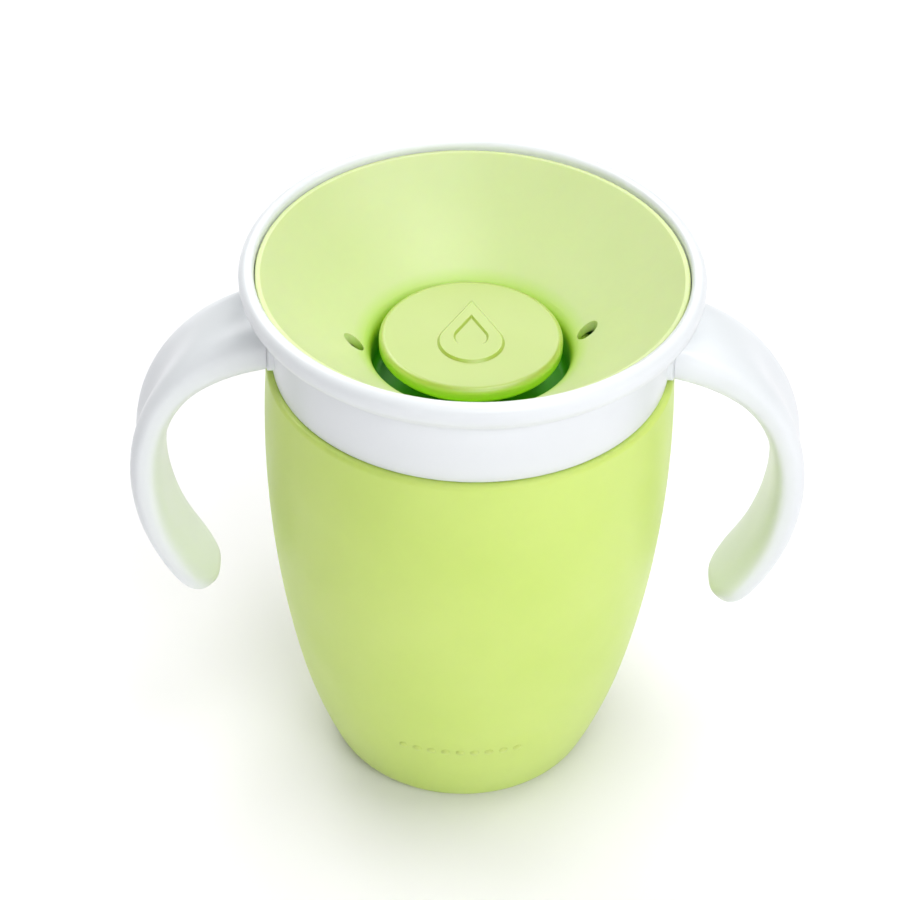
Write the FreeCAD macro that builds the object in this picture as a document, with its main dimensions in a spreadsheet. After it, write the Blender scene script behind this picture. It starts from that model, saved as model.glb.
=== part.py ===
import FreeCAD, Part
import Sketcher
import math
import os

# Spoutless training cup: a green cup, a white screw lid with a rolled drinking rim and two grab
# handles, a funnel-shaped valve that seals against the rim, and the knob that holds the valve down.
# Millimetres, +Z up. The origin is the centre of the base, on the surface the cup stands on.
# The handles reach along +X and -X.

V = FreeCAD.Vector
doc = FreeCAD.newDocument("training_cup")

# ---------------------------------------------------------------- driving dimensions

DIMENSIONS = [
    # cup
    ("foot_radius", 21.2), ("foot_recess", 1.3), ("foot_width", 4.2), ("foot_round", 4.5),
    ("heel_radius", 25.3), ("heel_level", 2.9), ("heel_curve", 112.0),
    ("waist_radius", 31.9), ("waist_level", 23.8), ("flank_curve", 232.0),
    ("shoulder_radius", 36.5), ("shoulder_level", 87.1), ("shoulder_round", 0.9),
    ("cup_wall", 2.0), ("cup_floor", 2.4), ("foot_bevel", 1.2), ("inner_corner", 1.4),
    ("neck_radius", 32.2), ("mouth_level", 93.4), ("mouth_round", 0.6), ("bore_step", 5.6),
    # screw thread, two starts
    ("thread_lead", 6.0), ("thread_rise", 3.2), ("thread_depth", 1.15),
    ("thread_root", 1.1), ("thread_crest", 0.5), ("thread_sink", 0.3), ("lid_thread_level", 87.45),
    # lid
    ("skirt_radius", 35.4), ("skirt_level", 87.25), ("skirt_bore", 33.9), ("skirt_round", 0.4),
    ("lip_root_radius", 36.75), ("lip_root_level", 99.7),
    ("lip_flare_radius", 38.9), ("lip_flare_level", 101.9), ("lip_flare_curve", 3.4),
    ("rim_radius", 41.0), ("rim_belly_level", 105.8), ("rim_level", 107.6),
    ("rim_crest_radius", 39.35), ("rim_outer_round", 1.75), ("rim_inner_round", 1.05),
    ("rim_inner_level", 106.6), ("rim_belly_curve", 4.6), ("rim_bore", 38.3),
    ("seat_radius", 28.0), ("seat_lip", 1.8), ("seat_gap", 1.6), ("ceiling_level", 94.9),
    ("spoke_width", 2.2), ("spoke_count", 4), ("spoke_gap", 1.0), ("spoke_depth", 3.6),
    ("spoke_lead", 0.6), ("hub_radius", 8.0), ("hub_level", 76.6), ("hub_bore", 4.25),
    ("hub_gap", 0.2),
    # gasket
    ("gasket_inner", 30.6), ("gasket_outer", 33.3), ("gasket_gap", 0.1), ("gasket_round", 0.3),
    # funnel valve
    ("funnel_radius", 38.12), ("funnel_level", 106.2), ("funnel_slope", 0.877),
    ("lip_height", 0.6), ("lip_lean", 0.68), ("lip_round", 0.3),
    ("funnel_wall", 1.6), ("funnel_drop", 2.13), ("well_radius", 17.8), ("well_floor", 82.0),
    ("well_shoulder", 4.0), ("well_corner", 1.4),
    ("vent_radius", 1.75), ("vent_wall", 0.9), ("vent_skin", 0.4), ("vent_sink", 0.5),
    ("vent_place", 20.9), ("vent_angle", 7.0), ("vent_floor", 87.6),
    # knob
    ("knob_radius", 16.4), ("knob_level", 92.4), ("knob_edge", 2.9), ("knob_top_round", 1.1),
    ("knob_lower_round", 0.7), ("knob_neck", 8.0), ("knob_neck_round", 1.6), ("knob_dish", 0.8),
    ("knob_gap", 0.05), ("stem_radius", 4.15), ("stem_level", 75.2), ("stem_round", 0.8),
    ("emblem_height", 0.45), ("emblem_radius", 6.0), ("emblem_tip", 10.0), ("emblem_drop", 2.6),
    ("emblem_slope", 45.0), ("hollow_scale", 0.52), ("hollow_depth", 0.36),
    # handles
    ("boss_width", 22.0), ("boss_low", 90.0), ("boss_high", 98.6), ("boss_radius", 36.9),
    ("boss_round", 3.0), ("tongue_width", 10.0), ("tongue_height", 3.4), ("tongue_length", 1.8),
    ("tongue_round", 0.6), ("tongue_gap", 0.05), ("tongue_overlap", 1.5), ("root_gap", 0.06),
    ("handle_width", 17.6), ("handle_thickness", 6.5), ("handle_trough", 2.0),
    ("root_width", 18.4), ("root_thickness", 10.2), ("tip_radius", 8.6), ("tip_thickness", 5.4),
]

sheet = doc.addObject("Spreadsheet::Sheet", "Sizes")
for row, (alias, value) in enumerate(DIMENSIONS, start=1):
    sheet.set("A%d" % row, alias)
    sheet.set("B%d" % row, str(value))
    sheet.setAlias("B%d" % row, alias)
doc.recompute()


class Size:
    """A size in mm, together with the spreadsheet expression that it comes from."""

    def __init__(self, value, text):
        self.value = float(value)
        self.text = text

    def __add__(self, other):
        other = as_size(other)
        return Size(self.value + other.value, "(%s + %s)" % (self.text, other.text))

    def __sub__(self, other):
        other = as_size(other)
        return Size(self.value - other.value, "(%s - %s)" % (self.text, other.text))

    def __mul__(self, other):
        other = as_size(other)
        return Size(self.value * other.value, "(%s * %s)" % (self.text, other.text))


def as_size(number):
    return number if isinstance(number, Size) else Size(number, "%g" % number)


def size(alias):
    return Size(sheet.get(alias), "Sizes." + alias)


# ---------------------------------------------------------------- tools for sketches and features

def new_body(label):
    body = doc.addObject("PartDesign::Body", label)
    body.Label = label
    return body


def origin_feature(body, role):
    return next(f for f in body.Origin.OriginFeatures if f.Role == role)


def new_sketch(body, name, role="XZ_Plane", turn=0.0):
    """A sketch on one of the body's origin planes, turned about the plane's upright axis."""
    sketch = body.newObject("Sketcher::SketchObject", name)
    sketch.AttachmentSupport = [(origin_feature(body, role), "")]
    sketch.MapMode = "FlatFace"
    sketch.AttachmentOffset = FreeCAD.Placement(V(0, 0, 0), FreeCAD.Rotation(V(0, 1, 0), turn))
    return sketch


def arc_edge(start, end, radius):
    """A circular arc; a positive radius bends to the left of the way from start to end."""
    chord = end - start
    middle = (start + end) * 0.5
    left = V(-chord.y, chord.x, 0).normalize()
    offset = math.sqrt(radius * radius - chord.Length ** 2 / 4)
    centre = middle + left * math.copysign(offset, radius)
    first, last = (start, end) if radius > 0 else (end, start)
    angles = [math.atan2(p.y - centre.y, p.x - centre.x) for p in (first, last)]
    return Part.ArcOfCircle(Part.Circle(centre, V(0, 0, 1), abs(radius)), angles[0], angles[1])


def pin_point(sketch, geometry, end, across, up):
    """Fixes one end of an edge at a distance across and up from the sketch's origin."""
    for kind, axis, distance in (("DistanceX", -2, across), ("DistanceY", -1, up)):
        if abs(distance.value) < 1e-9:
            sketch.addConstraint(Sketcher.Constraint("PointOnObject", geometry, end, axis))
            continue
        points = (-1, 1, geometry, end) if distance.value > 0 else (geometry, end, -1, 1)
        length = distance if distance.value > 0 else distance * -1
        row = sketch.addConstraint(Sketcher.Constraint(kind, *points, length.value))
        sketch.setExpression("Constraints[%d]" % row, length.text)


def draw_outline(sketch, corners):
    """A closed outline. Each corner is (across, up) or (across, up, radius of the arc that leaves)."""
    points = [(as_size(c[0]), as_size(c[1])) for c in corners]
    ends = []
    for i, corner in enumerate(corners):
        start = V(points[i][0].value, points[i][1].value, 0)
        following = points[(i + 1) % len(points)]
        end = V(following[0].value, following[1].value, 0)
        if len(corner) == 3:
            radius = corner[2]
            geometry = sketch.addGeometry(arc_edge(start, end, radius.value))
            row = sketch.addConstraint(
                Sketcher.Constraint("Radius", geometry, abs(radius.value)))
            sign = "" if radius.value > 0 else "-"
            sketch.setExpression("Constraints[%d]" % row, sign + radius.text)
            ends.append((geometry, 1, 2) if radius.value > 0 else (geometry, 2, 1))
        else:
            geometry = sketch.addGeometry(Part.LineSegment(start, end))
            ends.append((geometry, 1, 2))
    for i, (geometry, first, _) in enumerate(ends):
        before, _, last = ends[i - 1]
        sketch.addConstraint(Sketcher.Constraint("Coincident", before, last, geometry, first))
        pin_point(sketch, geometry, first, *points[i])


def revolve(body, name, corners):
    """An outline in the XZ plane, revolved about the Z axis."""
    sketch = new_sketch(body, name + "_outline")
    draw_outline(sketch, corners)
    feature = body.newObject("PartDesign::Revolution", name)
    feature.Profile = sketch
    feature.ReferenceAxis = (sketch, ["V_Axis"])
    feature.Angle = 360
    doc.recompute()
    return feature


def screw_thread(body, name, corners):
    """A trapezoid ridge swept up two helices, half a turn apart."""
    sketch = new_sketch(body, name + "_profile")
    draw_outline(sketch, corners)
    ridge = body.newObject("PartDesign::AdditiveHelix", name)
    ridge.Profile = sketch
    ridge.ReferenceAxis = (sketch, ["V_Axis"])
    ridge.Mode = "pitch-height-angle"
    ridge.setExpression("Pitch", "Sizes.thread_lead")
    ridge.setExpression("Height", "Sizes.thread_rise")
    doc.recompute()
    around(body, name + "_starts", [ridge], 2)


def around(body, name, features, count):
    """Repeats features evenly about the Z axis."""
    pattern = body.newObject("PartDesign::PolarPattern", name)
    pattern.Originals = features
    pattern.Axis = (origin_feature(body, "Z_Axis"), [""])
    pattern.Angle = 360
    pattern.Occurrences = count
    body.Tip = pattern
    doc.recompute()


def round_rings(body, name, radius, rings):
    """Rounds the circular edges about Z that lie at the given radii and heights."""
    base = body.Tip
    names = []
    for ring_radius, level in rings:
        found = [
            "Edge%d" % (i + 1) for i, edge in enumerate(base.Shape.Edges)
            if isinstance(edge.Curve, Part.Circle)
            and abs(edge.Curve.Radius - as_size(ring_radius).value) < 0.02
            and abs(edge.Curve.Center.z - as_size(level).value) < 0.02
            and math.hypot(edge.Curve.Center.x, edge.Curve.Center.y) < 0.01]
        if not found:
            raise RuntimeError("%s finds no ring at %s, %s" % (name, ring_radius, level))
        names += found
    feature = body.newObject("PartDesign::Fillet", name)
    feature.Base = (base, names)
    feature.setExpression("Radius", as_size(radius).text)
    doc.recompute()
    return feature


# ---------------------------------------------------------------- cup

def make_cup():
    body = new_body("cup_body")
    wall = size("cup_wall")
    foot_inner = size("foot_radius") - size("foot_width")
    neck_bore = size("neck_radius") - wall
    shoulder_under = size("shoulder_level") - wall
    flank_top = size("shoulder_level") - size("bore_step")
    revolve(body, "shell", [
        (0, size("foot_recess")),
        (foot_inner - size("foot_bevel"), size("foot_recess")),
        (foot_inner, 0),
        (size("foot_radius"), 0, size("foot_round")),
        (size("heel_radius"), size("heel_level"), size("heel_curve")),
        (size("waist_radius"), size("waist_level"), size("flank_curve")),
        (size("shoulder_radius"), size("shoulder_level")),
        (size("neck_radius"), size("shoulder_level")),
        (size("neck_radius"), size("mouth_level")),
        (neck_bore, size("mouth_level")),
        (neck_bore, shoulder_under),
        (size("shoulder_radius") - wall, flank_top, size("flank_curve") * -1),
        (size("waist_radius") - wall, size("waist_level"), size("heel_curve") * -1),
        (size("heel_radius") - wall + 0.5, size("heel_level") + wall),
        (size("foot_radius") - size("inner_corner"), size("foot_recess") + size("cup_floor")),
        (0, size("foot_recess") + size("cup_floor")),
    ])
    round_rings(body, "shoulder_rounding", size("shoulder_round"),
                [(size("shoulder_radius"), size("shoulder_level"))])
    round_rings(body, "mouth_rounding", size("mouth_round"),
                [(size("neck_radius"), size("mouth_level")), (neck_bore, size("mouth_level"))])
    ridge_low = size("lid_thread_level") + size("thread_lead") * 0.25
    taper = (size("thread_root") - size("thread_crest")) * 0.5
    root = size("neck_radius") - size("thread_sink")
    crest = size("neck_radius") + size("thread_depth")
    screw_thread(body, "neck_thread", [
        (root, ridge_low),
        (crest, ridge_low + taper),
        (crest, ridge_low + taper + size("thread_crest")),
        (root, ridge_low + size("thread_root")),
    ])
    return body


# ---------------------------------------------------------------- lid

def funnel_height(radius):
    """Height of the funnel's upper face at a radius."""
    edge = size("funnel_radius") - size("funnel_wall")
    return size("funnel_level") - size("lip_height") - (edge - radius) * size("funnel_slope")


def seat_height(radius):
    """Height of the lid's conical seat, which follows the funnel's lower face with a gap."""
    return funnel_height(radius) - size("funnel_drop") - size("seat_gap")


def make_lid():
    body = new_body("lid_collar")
    seat_bottom = seat_height(size("seat_radius")) - size("seat_lip")
    revolve(body, "ring", [
        (size("skirt_radius"), size("skirt_level")),
        (size("lip_root_radius"), size("lip_root_level"), size("lip_flare_curve") * -1),
        (size("lip_flare_radius"), size("lip_flare_level"), size("rim_belly_curve")),
        (size("rim_radius"), size("rim_belly_level"), size("rim_outer_round")),
        (size("rim_crest_radius"), size("rim_level"), size("rim_inner_round")),
        (size("rim_bore"), size("rim_inner_level")),
        (size("rim_bore"), seat_height(size("rim_bore"))),
        (size("seat_radius"), seat_height(size("seat_radius"))),
        (size("seat_radius"), seat_bottom),
        (size("seat_radius") + size("seat_lip"), seat_bottom),
        (size("seat_radius") + size("seat_lip"), size("ceiling_level")),
        (size("skirt_bore"), size("ceiling_level")),
        (size("skirt_bore"), size("skirt_level")),
    ])
    round_rings(body, "skirt_rounding", size("skirt_round"),
                [(size("skirt_radius"), size("skirt_level"))])
    taper = (size("thread_root") - size("thread_crest")) * 0.5
    root = size("skirt_bore") + size("thread_sink")
    crest = size("skirt_bore") - size("thread_depth")
    low = size("lid_thread_level")
    screw_thread(body, "lid_thread", [
        (root, low),
        (root, low + size("thread_root")),
        (crest, low + taper + size("thread_crest")),
        (crest, low + taper),
    ])
    add_spokes(body, seat_bottom)
    add_boss(body)
    return body


SPOKE_TURN = 45.0


def add_spokes(body, seat_bottom):
    """Ribs that run down under the funnel from the seat and carry the hub that takes the knob's stem."""
    hub_top = size("well_floor") - size("funnel_wall") - size("hub_gap")
    side = size("well_radius") + size("funnel_wall") + size("spoke_gap")
    depth = size("spoke_depth")
    shoulder = side + depth * 0.7
    outer = size("seat_radius") + size("seat_lip") * 0.5
    inner = size("hub_radius") - size("spoke_gap")
    under = size("hub_level") + size("spoke_lead")
    sketch = new_sketch(body, "spoke_outline", turn=SPOKE_TURN)
    draw_outline(sketch, [
        (outer, seat_height(size("seat_radius"))),
        (shoulder, seat_height(shoulder)),
        (side, seat_height(side) - depth * 0.6),
        (side, hub_top),
        (inner, hub_top),
        (inner, under),
        (side - depth * 0.5, under),
        (side + depth * 0.6, under + depth * 1.2),
        (side + depth, seat_height(side) - depth),
        (outer, seat_bottom),
    ])
    spoke = body.newObject("PartDesign::Pad", "spoke")
    spoke.Profile = sketch
    spoke.setExpression("Length", "Sizes.spoke_width")
    spoke.Midplane = True
    doc.recompute()
    around(body, "spokes", [spoke], int(sheet.get("spoke_count")))
    revolve(body, "hub", [
        (size("hub_bore"), size("hub_level")),
        (size("hub_radius"), size("hub_level")),
        (size("hub_radius"), hub_top),
        (size("hub_bore"), hub_top),
    ])


def block_sketch(body, name, start, width, low, high, corner):
    """A rectangle with rounded corners, across the X axis at the distance start."""
    sketch = new_sketch(body, name, "YZ_Plane")
    sketch.setExpression(".AttachmentOffset.Base.z", start.text)
    side = width * 0.5
    flat = side - corner
    draw_outline(sketch, [
        (flat * -1, low), (flat, low, corner),
        (side, low + corner), (side, high - corner, corner),
        (flat, high), (flat * -1, high, corner),
        (side * -1, high - corner), (side * -1, low + corner, corner),
    ])
    return sketch


def add_boss(body):
    """A low boss on each side of the skirt, with the socket that the handle's tongue plugs into."""
    start = size("skirt_bore") + size("thread_sink")
    margin = size("boss_round") * 0.2
    boss = body.newObject("PartDesign::Pad", "boss")
    boss.Profile = block_sketch(body, "boss_outline", start, size("boss_width"),
                                size("boss_low"), size("boss_high"), size("boss_round"))
    boss.setExpression("Length", (size("rim_radius") - start).text)
    doc.recompute()
    around(body, "boss_pair", [boss], 2)
    below, above = size("boss_low") - margin, size("boss_high") + margin
    trim = new_sketch(body, "boss_trim_outline")
    outside = size("rim_radius") + size("boss_round")
    draw_outline(trim, [
        (size("boss_radius"), below), (outside, below), (outside, above), (size("boss_radius"), above),
    ])
    groove = body.newObject("PartDesign::Groove", "boss_trim")
    groove.Profile = trim
    groove.ReferenceAxis = (trim, ["V_Axis"])
    groove.Angle = 360
    doc.recompute()
    middle = (size("boss_low") + size("boss_high")) * 0.5
    half = size("tongue_height") * 0.5
    socket = body.newObject("PartDesign::Pocket", "socket")
    socket.Profile = block_sketch(body, "socket_outline", size("boss_radius"), size("tongue_width"),
                                  middle - half, middle + half, size("tongue_round"))
    socket.setExpression("Length", size("tongue_length").text)
    doc.recompute()
    around(body, "socket_pair", [socket], 2)


def make_gasket():
    body = new_body("lid_gasket")
    low = size("mouth_level") + size("gasket_gap")
    high = size("ceiling_level") - size("gasket_gap")
    revolve(body, "ring_seal", [
        (size("gasket_inner"), low), (size("gasket_outer"), low),
        (size("gasket_outer"), high), (size("gasket_inner"), high),
    ])
    round_rings(body, "seal_rounding", size("gasket_round"), [
        (radius, level) for radius in (size("gasket_inner"), size("gasket_outer"))
        for level in (low, high)])
    return body


# ---------------------------------------------------------------- valve and knob

def make_valve():
    body = new_body("valve_funnel")
    wall = size("funnel_wall")
    edge = size("funnel_radius") - wall
    well_outer = size("well_radius") + wall
    drop = size("funnel_drop")
    revolve(body, "funnel", [
        (size("hub_bore"), size("well_floor")),
        (size("well_radius"), size("well_floor")),
        (size("well_radius"), funnel_height(size("well_radius"))),
        (edge, funnel_height(edge)),
        (edge + size("lip_lean"), size("funnel_level")),
        (size("funnel_radius"), size("funnel_level")),
        (size("funnel_radius"), funnel_height(size("funnel_radius")) - drop),
        (well_outer, funnel_height(well_outer) - drop),
        (well_outer, size("well_floor") - wall),
        (size("hub_bore"), size("well_floor") - wall),
    ])
    round_rings(body, "shoulder_rounding", size("well_shoulder"),
                [(size("well_radius"), funnel_height(size("well_radius")))])
    round_rings(body, "corner_rounding", size("well_corner"),
                [(size("well_radius"), size("well_floor"))])
    round_rings(body, "edge_rounding", size("lip_round"), [
        (edge + size("lip_lean"), size("funnel_level")),
        (size("funnel_radius"), size("funnel_level"))])
    add_vents(body)
    return body


def add_vents(body):
    """Two air vents beside the well: short tubes under the funnel, closed by a thin slit skin."""
    sketch = new_sketch(body, "vent_tube_outline")
    centre = size("vent_place")
    tube_radius = size("vent_radius") + size("vent_wall")
    tube_low = size("vent_floor") - size("vent_skin")
    tube_high = funnel_height(centre - tube_radius) - size("vent_sink")
    draw_outline(sketch, [
        (centre, tube_low), (centre + tube_radius, tube_low),
        (centre + tube_radius, tube_high), (centre, tube_high),
    ])
    tube = body.newObject("PartDesign::Revolution", "vent_tube")
    tube.Profile = sketch
    tube.ReferenceAxis = (sketch, ["Edge4"])
    tube.Angle = 360
    doc.recompute()
    bore_high = funnel_height(centre + tube_radius) + size("funnel_wall")
    bore_sketch = new_sketch(body, "vent_bore_outline")
    draw_outline(bore_sketch, [
        (centre, size("vent_floor")), (centre + size("vent_radius"), size("vent_floor")),
        (centre + size("vent_radius"), bore_high), (centre, bore_high),
    ])
    bore = body.newObject("PartDesign::Groove", "vent_bore")
    bore.Profile = bore_sketch
    bore.ReferenceAxis = (bore_sketch, ["Edge4"])
    bore.Angle = 360
    doc.recompute()
    around(body, "vent_pair", [tube, bore], 2)


def make_knob():
    body = new_body("valve_knob")
    under = size("knob_level") - size("knob_edge")
    neck_top = under - size("knob_dish")
    neck_foot = size("well_floor") + size("knob_gap")
    revolve(body, "mushroom", [
        (0, size("knob_level")),
        (0, size("stem_level")),
        (size("stem_radius"), size("stem_level")),
        (size("stem_radius"), neck_foot),
        (size("knob_neck"), neck_foot),
        (size("knob_neck"), neck_top),
        (size("knob_radius"), under),
        (size("knob_radius"), size("knob_level")),
    ])
    for name, alias, ring in (
            ("top_rounding", "knob_top_round", (size("knob_radius"), size("knob_level"))),
            ("lower_rounding", "knob_lower_round", (size("knob_radius"), under)),
            ("neck_rounding", "knob_neck_round", (size("knob_neck"), neck_top)),
            ("stem_rounding", "stem_round", (size("stem_radius"), size("stem_level")))):
        round_rings(body, name, size(alias), [ring])
    add_emblem(body)
    return body


def drop_sketch(body, name, level, scale):
    """A water drop's outline in a level plane: an arc of a circle and two tangents to a point."""
    radius, tip, drop = (
        size(a) * scale.value for a in ("emblem_radius", "emblem_tip", "emblem_drop"))
    centre = V(0, -drop.value, 0)
    lean = math.asin(radius.value / (tip.value + drop.value))
    touch = centre + V(radius.value * math.cos(lean), radius.value * math.sin(lean), 0)
    point = V(0, tip.value, 0)
    sketch = new_sketch(body, name, "XY_Plane")
    sketch.setExpression(".AttachmentOffset.Base.z", level.text)
    circle = Part.Circle(centre, V(0, 0, 1), radius.value)
    sketch.addGeometry(Part.ArcOfCircle(circle, math.pi - lean, 2 * math.pi + lean))
    sketch.addGeometry(Part.LineSegment(touch, point))
    sketch.addGeometry(Part.LineSegment(point, V(-touch.x, touch.y, 0)))
    for kind, *ends in (("Tangent", 0, 2, 1, 1), ("Coincident", 1, 2, 2, 1), ("Tangent", 2, 2, 0, 1)):
        sketch.addConstraint(Sketcher.Constraint(kind, *ends))
    sketch.addConstraint(Sketcher.Constraint("PointOnObject", 0, 3, -2))
    sketch.addConstraint(Sketcher.Constraint("PointOnObject", 1, 2, -2))
    for kind, places, length in (("Radius", (0,), radius), ("DistanceY", (0, 3, -1, 1), drop),
                                 ("DistanceY", (-1, 1, 1, 2), tip)):
        row = sketch.addConstraint(Sketcher.Constraint(kind, *places, length.value))
        sketch.setExpression("Constraints[%d]" % row, length.text)
    return sketch


def add_emblem(body):
    """A plain water drop, raised with sloping sides on the knob's flat top, and a sunk one inside it."""
    level = size("knob_level")
    emblem = body.newObject("PartDesign::Pad", "drop")
    emblem.Profile = drop_sketch(body, "drop_outline", level, as_size(1))
    emblem.setExpression("Length", "Sizes.emblem_height")
    emblem.setExpression("TaperAngle", "-Sizes.emblem_slope")
    doc.recompute()
    hollow = body.newObject("PartDesign::Pocket", "drop_hollow")
    hollow.Profile = drop_sketch(body, "hollow_outline", level + size("emblem_height"),
                                 size("hollow_scale"))
    hollow.setExpression("Length", "Sizes.hollow_depth")
    hollow.setExpression("TaperAngle", "-Sizes.emblem_slope")
    doc.recompute()


# ---------------------------------------------------------------- handles

# Middle line of the right handle in the XZ plane, from the boss to the tip.
HANDLE_LINE = [(34.6, 93.3), (45.3, 89.2), (51.9, 83.6), (56.9, 74.6), (58.7, 63.3),
               (55.3, 46.6), (46.9, 34.4)]
HANDLE_SHARES = [0.0, 0.05, 0.12, 0.2, 0.3, 0.42, 0.54, 0.66, 0.77, 0.86, 0.92, 0.955,
                 0.977, 0.99, 0.998]
SECTION_POINTS = 32
SECTION_POWER = 2.8
TROUGH_REACH = 0.8


def handle_curve():
    curve = Part.BSplineCurve()
    curve.interpolate([V(x, 0, z) for x, z in HANDLE_LINE])
    return curve


def handle_section(place, along, width, thickness, trough):
    """A closed section across the handle: a full, rounded bar with a trough along its inner face."""
    side = V(0, 1, 0)
    outward = side.cross(along).normalize()
    points = []
    for i in range(SECTION_POINTS):
        angle = 2 * math.pi * (i + 0.5) / SECTION_POINTS
        across, up = math.cos(angle), math.sin(angle)
        reach = (abs(across) ** SECTION_POWER + abs(up) ** SECTION_POWER) ** (-1 / SECTION_POWER)
        across, up = across * reach, up * reach * thickness / 2
        if up < 0:
            up += trough * max(0.0, 1 - (across / TROUGH_REACH) ** 2) ** 2
        points.append(place + side * (across * width / 2) + outward * up)
    curve = Part.BSplineCurve()
    curve.interpolate(Points=points, PeriodicFlag=True)
    return Part.Wire([curve.toShape()])


def ease(share, start, end):
    """A smooth step from 0 at start to 1 at end."""
    t = min(1.0, max(0.0, (share - start) / (end - start)))
    return t * t * (3 - 2 * t)


def handle_tongue():
    """The block on the handle's end that plugs into the collar's socket."""
    gap = sheet.get("tongue_gap")
    tall, wide = sheet.get("tongue_height") - 2 * gap, sheet.get("tongue_width") - 2 * gap
    deep = sheet.get("tongue_length") - 2 * gap
    middle = (sheet.get("boss_low") + sheet.get("boss_high")) / 2
    corner = V(sheet.get("boss_radius") - deep, -wide / 2, middle - tall / 2)
    tongue = Part.makeBox(deep + sheet.get("tongue_overlap"), wide, tall, corner)
    long_edges = [e for e in tongue.Edges if abs(e.tangentAt(e.FirstParameter).x) > 0.9]
    return tongue.makeFillet(sheet.get("tongue_round"), long_edges)


def make_handle(label, half_turns):
    """A grab handle: sections lofted along the middle line, closing to a rounded paddle tip."""
    curve = handle_curve()
    first = curve.FirstParameter
    length = curve.length()
    width, thickness, trough, root_width, root_thickness = (sheet.get(a) for a in (
        "handle_width", "handle_thickness", "handle_trough", "root_width", "root_thickness"))
    tip_radius, tip_thickness = sheet.get("tip_radius"), sheet.get("tip_thickness")
    sections = []
    for share in HANDLE_SHARES:
        parameter = curve.parameterAtDistance(share * length, first)
        along = V(*curve.tangent(parameter)[0]) if share else V(1, 0, 0)
        root = 1 - ease(share, 0.0, 0.38)
        wide = width + (root_width - width) * root
        thick = thickness + (root_thickness - thickness) * root
        thick += (tip_thickness - thickness) * ease(share, 0.6, 1.0)
        left = (1 - share) * length
        wide *= math.sqrt(1 - max(0.0, 1 - left / tip_radius) ** 2)
        thick *= math.sqrt(1 - max(0.0, 1 - left / (0.5 * tip_thickness)) ** 2)
        hollow = trough * ease(share, 0.12, 0.4) * (1 - ease(share, 0.72, 0.95))
        sections.append(handle_section(curve.value(parameter), along, wide, thick, hollow))
    bore = Part.makeCylinder(sheet.get("boss_radius") + sheet.get("root_gap"), sheet.get("rim_level"))
    solid = Part.makeLoft(sections, True, False).cut(bore)
    handle = doc.addObject("Part::Feature", label)
    handle.Label = label
    handle.Shape = solid.fuse(handle_tongue()).removeSplitter()
    handle.Placement = FreeCAD.Placement(V(0, 0, 0), FreeCAD.Rotation(V(0, 0, 1), half_turns * 180))
    return handle


# ---------------------------------------------------------------- build, check and write

def check(subparts):
    for item in doc.Objects:
        if "Invalid" in item.State or "Error" in item.State:
            raise RuntimeError("%s: %s" % (item.Name, item.State))
    for item in subparts:
        shape = item.Shape
        if shape.isNull() or not shape.isValid() or len(shape.Solids) != 1:
            raise RuntimeError("%s is not one valid solid" % item.Label)
        print("%-14s %9.1f mm3 %s" % (item.Label, shape.Volume, shape.BoundBox))


subparts = [
    make_cup(), make_lid(), make_gasket(), make_valve(), make_knob(),
    make_handle("handle_right", 0), make_handle("handle_left", 1),
]
subparts[3].Placement = FreeCAD.Placement(
    V(0, 0, 0), FreeCAD.Rotation(V(0, 0, 1), sheet.get("vent_angle")))
doc.recompute()
check(subparts)
os.makedirs("parts", exist_ok=True)
for item in subparts:
    item.Shape.exportStep("parts/%s.step" % item.Label)
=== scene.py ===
import math

import bmesh
import bpy
from mathutils import Matrix, Vector


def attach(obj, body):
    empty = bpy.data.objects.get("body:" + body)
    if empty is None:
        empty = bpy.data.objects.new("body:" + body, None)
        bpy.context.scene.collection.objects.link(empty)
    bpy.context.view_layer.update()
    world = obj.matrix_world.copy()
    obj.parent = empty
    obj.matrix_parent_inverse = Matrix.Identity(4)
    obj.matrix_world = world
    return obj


# Looks for the spoutless training cup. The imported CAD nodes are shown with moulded-plastic and
# silicone materials, and small moulded details ride on the same bodies. Metres, +Z up.

MM = 0.001
WHITE = (1.0, 1.0, 1.0, 1.0)

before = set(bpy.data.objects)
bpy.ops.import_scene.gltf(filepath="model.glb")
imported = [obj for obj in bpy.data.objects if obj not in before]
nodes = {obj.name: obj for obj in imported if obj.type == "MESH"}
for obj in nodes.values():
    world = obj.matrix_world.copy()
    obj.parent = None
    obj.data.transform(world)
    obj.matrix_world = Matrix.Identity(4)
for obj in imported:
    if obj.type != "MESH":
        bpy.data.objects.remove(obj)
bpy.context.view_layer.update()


# ---------------------------------------------------------------- materials

# Each surface pattern: noise scale per metre, detail and roughness.
CLOUD, SMUDGE = (38.0, 4.0, 0.5), (110.0, 5.0, 0.6)
WAVES, SKIN = (160.0, 2.0, 0.5), (2600.0, 2.0, 0.5)
# The values between which most of a noise lies, and the depth of each relief.
NOISE_LOW, NOISE_HIGH = 0.3, 0.7
SKIN_DEPTH, WAVE_DEPTH, WAVE_SHARE = 0.04 * MM, 0.1 * MM, 0.6
SCATTER_DEPTH = 2.0 * MM


def new_material(name):
    material = bpy.data.materials.new(name)
    material.use_nodes = True
    material.node_tree.nodes.clear()
    return material


def noise(tree, coordinates, scale, detail, roughness):
    texture = tree.nodes.new("ShaderNodeTexNoise")
    texture.inputs["Scale"].default_value = scale
    texture.inputs["Detail"].default_value = detail
    texture.inputs["Roughness"].default_value = roughness
    tree.links.new(coordinates, texture.inputs["Vector"])
    return texture.outputs["Fac"]


def spread(tree, value, low, high, start=NOISE_LOW, end=NOISE_HIGH):
    """Maps a value from start..end to low..high."""
    ranged = tree.nodes.new("ShaderNodeMapRange")
    ranged.inputs["From Min"].default_value = start
    ranged.inputs["From Max"].default_value = end
    ranged.inputs["To Min"].default_value = low
    ranged.inputs["To Max"].default_value = high
    tree.links.new(value, ranged.inputs["Value"])
    return ranged.outputs["Result"]


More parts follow.
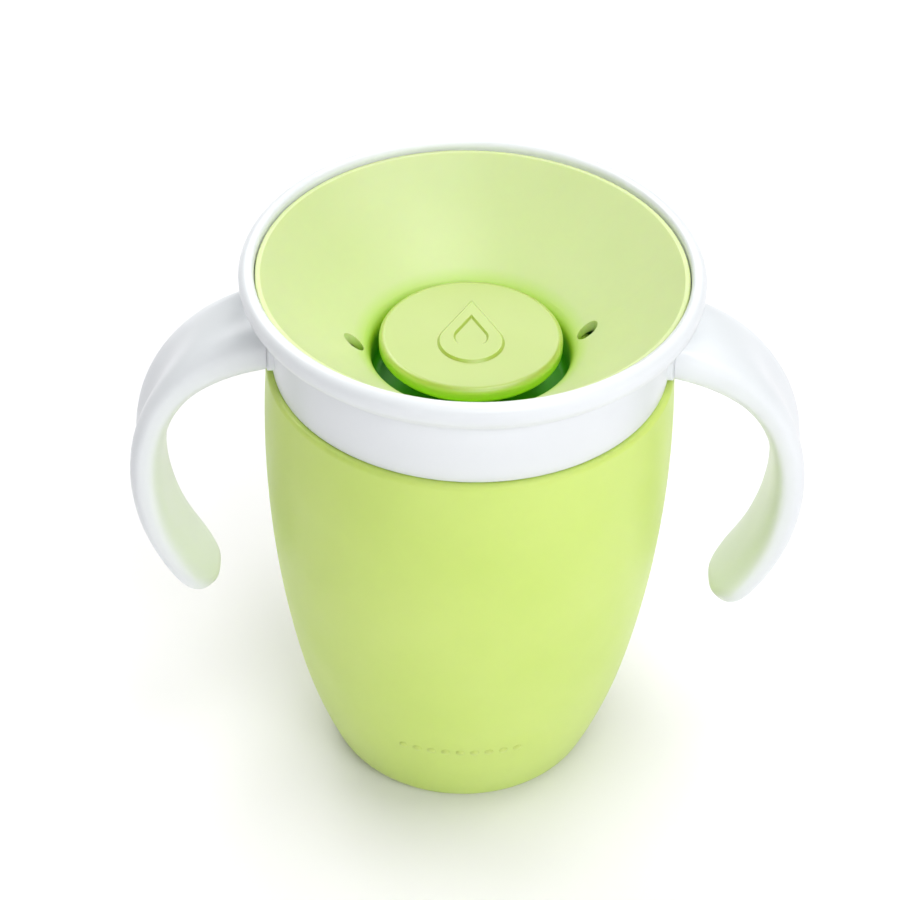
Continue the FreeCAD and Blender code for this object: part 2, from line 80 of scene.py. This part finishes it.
def relief(tree, height, strength, depth, below=None):
    """Adds a bump to the surface, on top of the one below."""
    bump = tree.nodes.new("ShaderNodeBump")
    bump.inputs["Strength"].default_value = strength
    bump.inputs["Distance"].default_value = depth
    tree.links.new(height, bump.inputs["Height"])
    if below:
        tree.links.new(below, bump.inputs["Normal"])
    return bump.outputs["Normal"]


def paint_light_and_shade_by_height(tree, colour, place, painted_tone, low, high):
    """Painted light and shade: blends a colour towards a painted tone from the height high down to low.
    """
    parts = tree.nodes.new("ShaderNodeSeparateXYZ")
    tree.links.new(place, parts.inputs[0])
    mix = tree.nodes.new("ShaderNodeMix")
    mix.data_type = "RGBA"
    tree.links.new(spread(tree, parts.outputs["Z"], 1.0, 0.0, low, high), mix.inputs["Factor"])
    tree.links.new(colour, mix.inputs["A"])
    mix.inputs["B"].default_value = (*painted_tone, 1.0)
    return mix.outputs["Result"]


def moulded(name, deep, pale, rough, gloss, scatter, scatter_radius, grain, coat=0.0,
            coat_rough=0.2, ior=1.5, painted_light_and_shade=()):
    """Moulded plastic or silicone: slightly cloudy colour, handled-looking gloss and a fine skin."""
    material = new_material(name)
    tree = material.node_tree
    shader = tree.nodes.new("ShaderNodeBsdfPrincipled")
    place = tree.nodes.new("ShaderNodeTexCoord").outputs["Object"]
    ramp = tree.nodes.new("ShaderNodeValToRGB")
    stops = zip(ramp.color_ramp.elements, (NOISE_LOW, NOISE_HIGH), (deep, pale))
    for stop, position, colour in stops:
        stop.position = position
        stop.color = (*colour, 1.0)
    tree.links.new(noise(tree, place, *CLOUD), ramp.inputs["Fac"])
    colour = ramp.outputs["Color"]
    # Painted light and shade by height, laid over the cloudy colour.
    for painted_tone in painted_light_and_shade:
        colour = paint_light_and_shade_by_height(tree, colour, place, *painted_tone)
    tree.links.new(colour, shader.inputs["Base Color"])
    smudge = noise(tree, place, *SMUDGE)
    tree.links.new(spread(tree, smudge, rough, gloss), shader.inputs["Roughness"])
    skin = relief(tree, noise(tree, place, *SKIN), grain, SKIN_DEPTH)
    waves = relief(tree, noise(tree, place, *WAVES), grain * WAVE_SHARE, WAVE_DEPTH, skin)
    tree.links.new(waves, shader.inputs["Normal"])
    shader.inputs["IOR"].default_value = ior
    shader.inputs["Subsurface Weight"].default_value = scatter
    shader.inputs["Subsurface Radius"].default_value = scatter_radius
    shader.inputs["Subsurface Scale"].default_value = SCATTER_DEPTH
    shader.inputs["Coat Weight"].default_value = coat
    shader.inputs["Coat Roughness"].default_value = coat_rough
    out = tree.nodes.new("ShaderNodeOutputMaterial")
    tree.links.new(shader.outputs["BSDF"], out.inputs["Surface"])
    return material


cup_green = moulded("cup_green", (0.61, 0.79, 0.175), (0.65, 0.82, 0.205), rough=0.44, gloss=0.36,
                    scatter=0.3, scatter_radius=(1.0, 1.2, 0.35), grain=0.05, coat=0.12,
                    coat_rough=0.42, ior=1.38)
lid_white = moulded("lid_white", (0.80, 0.832, 0.852), (0.825, 0.855, 0.872), rough=0.34,
                    gloss=0.28, scatter=0.15, scatter_radius=(1.0, 1.0, 1.0), grain=0.03)
valve_green = moulded("valve_green", (0.61, 0.73, 0.33), (0.65, 0.76, 0.37), rough=0.5, gloss=0.42,
                      scatter=0.4, scatter_radius=(1.0, 1.4, 0.4), grain=0.04, coat=0.2,
                      coat_rough=0.45, ior=1.45,
                      # Painted shade: the funnel turns a deeper, darker green lower down, in the well
                      # around the knob and inside the vents.
                      painted_light_and_shade=[((0.46, 0.72, 0.03), 88.6 * MM, 92.0 * MM),
                             ((0.07, 0.46, 0.0), 83.5 * MM, 89.0 * MM)])
knob_green = moulded("knob_green", (0.35, 0.465, 0.05), (0.38, 0.495, 0.065), rough=0.38,
                     gloss=0.32, scatter=0.4, scatter_radius=(0.7, 1.4, 0.2), grain=0.04, coat=1.0,
                     coat_rough=0.36, ior=1.6,
                     # Painted light: the knob's sides turn a brighter, more saturated green lower down,
                     # a painted glow.
                     painted_light_and_shade=[((0.36, 0.92, 0.0), 89.4 * MM, 92.2 * MM)])
seal_clear = moulded("seal_clear", (0.78, 0.79, 0.75), (0.83, 0.84, 0.80), rough=0.45, gloss=0.35,
                     scatter=0.6, scatter_radius=(1.0, 1.0, 1.0), grain=0.05)

FINISHES = {
    "cup_body": cup_green,
    "lid_collar": lid_white,
    "handle_left": lid_white,
    "handle_right": lid_white,
    "valve_funnel": valve_green,
    "valve_knob": knob_green,
    "lid_gasket": seal_clear,
}
for node_name, finish in FINISHES.items():
    for material_slot in nodes[node_name].material_slots:
        material_slot.material = finish


# ---------------------------------------------------------------- moulded details

WELD = 1e-7
OUTSIDE = 0.2


def add_piece(name, vertices, faces, body, finish, slot_name):
    """A smooth-shaded mesh in the row frame that rides on a body."""
    mesh = bpy.data.meshes.new(name)
    mesh.from_pydata(vertices, [], faces)
    mesh.validate()
    work = bmesh.new()
    work.from_mesh(mesh)
    bmesh.ops.remove_doubles(work, verts=work.verts, dist=WELD)
    bmesh.ops.recalc_face_normals(work, faces=work.faces)
    work.to_mesh(mesh)
    work.free()
    for polygon in mesh.polygons:
        polygon.use_smooth = True
    piece = bpy.data.objects.new(name, mesh)
    bpy.context.scene.collection.objects.link(piece)
    mesh.materials.append(finish)
    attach(piece, body)


def lathe(profile, place, direction, steps):
    """A closed solid turned about an axis: profile is (radius, height) in mm, round to the axis."""
    turn = Vector(direction).to_track_quat("Z", "Y")
    vertices, faces = [], []
    for radius, height in profile:
        for i in range(steps):
            angle = 2 * math.pi * i / steps
            spot = Vector((radius * math.cos(angle), radius * math.sin(angle), height)) * MM
            vertices.append(Vector(place) + turn @ spot)
    for row in range(len(profile) - 1):
        for i in range(steps):
            j = (i + 1) % steps
            faces.append((row * steps + i, row * steps + j, (row + 1) * steps + j,
                          (row + 1) * steps + i))
    return vertices, faces


def joined(parts):
    """Several (vertices, faces) pairs as one."""
    vertices, faces = [], []
    for part_vertices, part_faces in parts:
        start = len(vertices)
        vertices += part_vertices
        faces += [tuple(i + start for i in face) for face in part_faces]
    return vertices, faces


def outside_point(node, azimuth, height):
    """Where a level line towards the axis first meets the node, and the surface's normal there."""
    away = Vector((math.sin(azimuth), -math.cos(azimuth), 0))
    found, place, normal, _ = node.ray_cast(away * OUTSIDE + Vector((0, 0, height)), -away)
    if not found:
        raise RuntimeError("no surface at height %.4f" % height)
    return place, normal


# A row of plain raised dots low on the front of the cup.
DOT_COUNT, DOT_STEP, DOT_HEIGHT, DOT_FACETS = 9, 0.088, 18.4 * MM, 32
DOT_PROFILE = [(0.0, 0.26), (0.3, 0.25), (0.55, 0.2), (0.72, 0.11), (0.82, 0.02), (0.86, -0.08),
               (0.86, -0.3), (0.0, -0.3)]
dots = []
for i in range(DOT_COUNT):
    azimuth = (i - (DOT_COUNT - 1) / 2) * DOT_STEP
    place, normal = outside_point(nodes["cup_body"], azimuth, DOT_HEIGHT)
    dots.append(lathe(DOT_PROFILE, place, normal, DOT_FACETS))
add_piece("front_dots", *joined(dots), "cup", cup_green, "cup_green")

# The injection gate's mark and two fine turned rings in the recess under the base.
RECESS = Vector((0, 0, 1.3 * MM))
DOWN = Vector((0, 0, -1))
GATE_PROFILE = [(0.0, 0.05), (0.5, 0.05), (0.7, 0.12), (0.8, 0.28), (1.0, 0.34), (1.9, 0.34),
                (2.2, 0.26), (2.35, 0.1), (2.4, -0.2), (0.0, -0.2)]
RING_PROFILE = [(-0.3, -0.2), (-0.25, 0.05), (-0.1, 0.16), (0.1, 0.16), (0.25, 0.05),
                (0.3, -0.2), (-0.3, -0.2)]
GATE_FACETS = 48
# Each ring: radius and facets.
RINGS = [(7.0, 96), (12.5, 128)]
marks = [lathe(GATE_PROFILE, RECESS, DOWN, GATE_FACETS)]
for ring_radius, steps in RINGS:
    profile = [(ring_radius + across, height) for across, height in RING_PROFILE]
    marks.append(lathe(profile, RECESS, DOWN, steps))
add_piece("base_marks", *joined(marks), "cup", cup_green, "cup_green")

# The slit skins at the bottom of the two air vents: two soft lips each, a hair apart.
# Places and sizes in mm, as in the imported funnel, and the vents' angle in degrees.
VENT_PLACE, VENT_ANGLE, VENT_FLOOR, VENT_BORE = 20.9, 7.0, 87.6, 1.75
LIP_STEPS, LIP_SHARES = 14, (0.0, 0.25, 0.6, 0.97)
LIP_FILL, LIP_GAP, LIP_RISE, LIP_EDGE, LIP_SINK, LIP_TURN = 0.98, 0.03, 0.34, 0.06, 0.05, 0.5


def half_lip(place, turn, sign):
    """One half-round lip, thickest in the middle of the slit."""
    width, block = len(LIP_SHARES), len(LIP_SHARES) * (LIP_STEPS + 1)
    reach = VENT_BORE * LIP_FILL
    spin = Matrix.Rotation(turn + LIP_TURN, 3, "Z")
    vertices, faces = [], []
    for is_top in (False, True):
        for i in range(LIP_STEPS + 1):
            angle = math.pi * i / LIP_STEPS
            for share in LIP_SHARES:
                across = reach * math.cos(angle)
                along = LIP_GAP + (reach * math.sin(angle) - LIP_GAP) * share
                up = LIP_EDGE + LIP_RISE * (1 - share) * math.sin(angle) if is_top else -LIP_SINK
                vertices.append(place + spin @ Vector((across, sign * along, up)) * MM)
    for i in range(LIP_STEPS):
        for k in range(width - 1):
            a = i * width + k
            quad = (a, a + 1, a + width + 1, a + width)
            faces += [quad, tuple(block + v for v in reversed(quad))]
        for k in (0, width - 1):
            a = i * width + k
            faces.append((a, a + width, block + a + width, block + a))
    return vertices, faces


lips = []
for turn in (math.radians(VENT_ANGLE), math.radians(VENT_ANGLE + 180)):
    vent = Vector((VENT_PLACE * math.cos(turn), VENT_PLACE * math.sin(turn), VENT_FLOOR)) * MM
    lips += [half_lip(vent, turn, 1), half_lip(vent, turn, -1)]
add_piece("vent_lips", *joined(lips), "valve", valve_green, "valve_green")


# ---------------------------------------------------------------- floor, light and camera

FLOOR_HALF, FLOOR_DROP = 6.0, 0.1 * MM
FLOOR_ROUGHNESS, FLOOR_SHINE = 0.9, 0.1
FLOOR_COLOUR = (0.88, 0.865, 0.895, 1.0)
# The floor's painted glow starts this far from GLOW_CENTRE, and goes from the left's strength to the
# right's.
GLOW_CENTRE, GLOW_REACH, GLOW_SIDES, GLOW_SPAN = (0.005, 0.01, 0.0), (0.022, 0.06), (0.12, 0.2), 0.12
# From the first to the second distance, a second glow rises to this strength. It lightens the far
# table, which is still grey near the horizon when seen from low down.
FAR_GLOW, FAR_REACH = 0.4, (0.3, 0.9)
WORLD_STRENGTH = 0.05


def make_floor():
    """A white table whose surface glows as painted light: none near the object, then more on the right
    than the left.
    """
    mesh = bpy.data.meshes.new("floor")
    mesh.from_pydata([(x * FLOOR_HALF, y * FLOOR_HALF, 0)
                      for x, y in ((-1, -1), (1, -1), (1, 1), (-1, 1))], [], [(0, 1, 2, 3)])
    floor = bpy.data.objects.new("floor", mesh)
    bpy.context.scene.collection.objects.link(floor)
    floor.location.z = -FLOOR_DROP
    material = new_material("floor_white")
    tree = material.node_tree
    shader = tree.nodes.new("ShaderNodeBsdfPrincipled")
    shader.inputs["Base Color"].default_value = FLOOR_COLOUR
    shader.inputs["Roughness"].default_value = FLOOR_ROUGHNESS
    shader.inputs["Specular IOR Level"].default_value = FLOOR_SHINE
    shader.inputs["Emission Color"].default_value = WHITE
    place = tree.nodes.new("ShaderNodeTexCoord").outputs["Object"]
    distance = tree.nodes.new("ShaderNodeVectorMath")
    distance.operation = "DISTANCE"
    distance.inputs[1].default_value = GLOW_CENTRE
    tree.links.new(place, distance.inputs[0])
    parts = tree.nodes.new("ShaderNodeSeparateXYZ")
    tree.links.new(place, parts.inputs[0])
    # Painted light: the floor's emission, zero near the object, stronger to the right and rising again
    # far off.
    glow = tree.nodes.new("ShaderNodeMath")
    glow.operation = "MULTIPLY"
    tree.links.new(spread(tree, distance.outputs["Value"], 0.0, 1.0, *GLOW_REACH), glow.inputs[0])
    tree.links.new(spread(tree, parts.outputs["X"], *GLOW_SIDES, -GLOW_SPAN, GLOW_SPAN),
                   glow.inputs[1])
    total = tree.nodes.new("ShaderNodeMath")
    total.operation = "ADD"
    tree.links.new(glow.outputs[0], total.inputs[0])
    tree.links.new(spread(tree, distance.outputs["Value"], 0.0, FAR_GLOW, *FAR_REACH),
                   total.inputs[1])
    tree.links.new(total.outputs[0], shader.inputs["Emission Strength"])
    out = tree.nodes.new("ShaderNodeOutputMaterial")
    tree.links.new(shader.outputs["BSDF"], out.inputs["Surface"])
    mesh.materials.append(material)


def softbox(name, place, width, height, radiance):
    """A rectangular lamp aimed at the cup, with the same brightness whatever its size."""
    light = bpy.data.lights.new(name, "AREA")
    light.shape = "RECTANGLE"
    light.size = width
    light.size_y = height
    light.energy = radiance * math.pi * width * height
    lamp = bpy.data.objects.new(name, light)
    bpy.context.scene.collection.objects.link(lamp)
    lamp.location = place
    lamp.rotation_mode = "QUATERNION"
    lamp.rotation_quaternion = (LIGHT_TARGET - Vector(place)).to_track_quat("-Z", "Y")
    lamp.visible_camera = False


# The softboxes aim at the middle of the cup. Each has a name, place, width, height and radiance.
LIGHT_TARGET = Vector((0.0, 0.0, 0.06))
SOFTBOXES = [
    ("back_top", (0.05, 0.75, 0.70), 0.9, 0.5, 2.7),
    ("back_left", (-0.5, 0.5, 0.85), 0.6, 0.5, 4.2),
    ("overhead", (0.25, -0.05, 1.05), 0.6, 0.6, 4.3),
    ("front_top", (0.0, -0.80, 0.75), 0.7, 0.4, 2.7),
    ("front_side", (0.35, -0.75, 0.75), 0.5, 0.4, 4.2),
    ("front_right", (0.6, -0.65, 0.55), 0.4, 0.5, 2.3),
]
make_floor()
for name, place, width, height, radiance in SOFTBOXES:
    softbox(name, place, width, height, radiance)

world = bpy.data.worlds.new("studio")
world.use_nodes = True
background = world.node_tree.nodes["Background"]
background.inputs["Color"].default_value = WHITE
background.inputs["Strength"].default_value = WORLD_STRENGTH
bpy.context.scene.world = world
bpy.context.scene.view_settings.view_transform = "Standard"

# The photograph's view: 39 degrees above the level, from a little left of the middle.
CAMERA_PLACE = (-0.0028, -0.4423, 0.4245)
CAMERA_DROP, CAMERA_ROLL = math.radians(39.05), math.radians(1.40)
SENSOR_MM, LENS_MM, CLIP_START, CLIP_END = 36.0, 123.75, 0.05, 30.0
lens = bpy.data.cameras.new("camera")
lens.sensor_width = SENSOR_MM
lens.lens = LENS_MM
lens.clip_start = CLIP_START
lens.clip_end = CLIP_END
camera = bpy.data.objects.new("camera", lens)
bpy.context.scene.collection.objects.link(camera)
look = Matrix.Rotation(math.pi / 2 - CAMERA_DROP, 4, "X") @ Matrix.Rotation(CAMERA_ROLL, 4, "Z")
camera.matrix_world = Matrix.Translation(CAMERA_PLACE) @ look
bpy.context.scene.camera = camera
